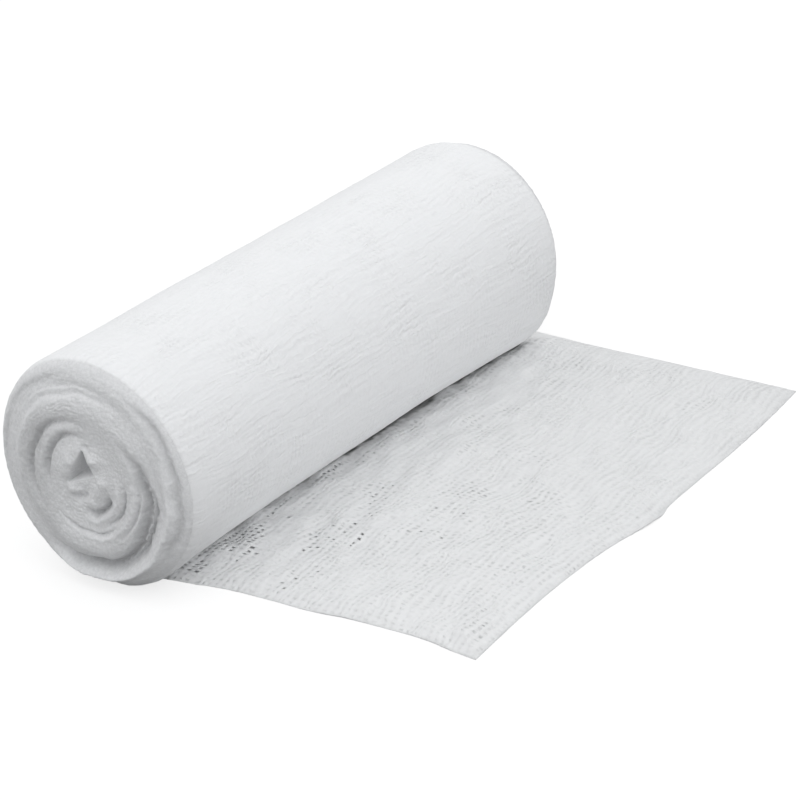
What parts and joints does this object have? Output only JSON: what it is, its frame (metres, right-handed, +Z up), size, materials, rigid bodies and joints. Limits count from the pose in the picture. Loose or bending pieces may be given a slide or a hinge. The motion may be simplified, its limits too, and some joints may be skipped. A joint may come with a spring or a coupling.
{
  "type": "gauze bandage roll",
  "caption": "Soft roll of white open-weave gauze lying on its side, with a short loose end laid out flat in front of it.",
  "frame": {"origin": "on the surface it stands on, in the flat strip under the middle of the roll", "axes": "+X along the roll's axis from its domed end to its dished end, -Y towards the loose end, +Z up"},
  "size_m": [0.1247, 0.0933, 0.0422],
  "materials": {
    "cotton_gauze": "matt bleached cotton, loosely woven, crimped and a little fluffy"
  },
  "bodies": {
    "root": {"gauze_roll": "cotton_gauze", "loose_end": "cotton_gauze"}
  },
  "joints": []
}
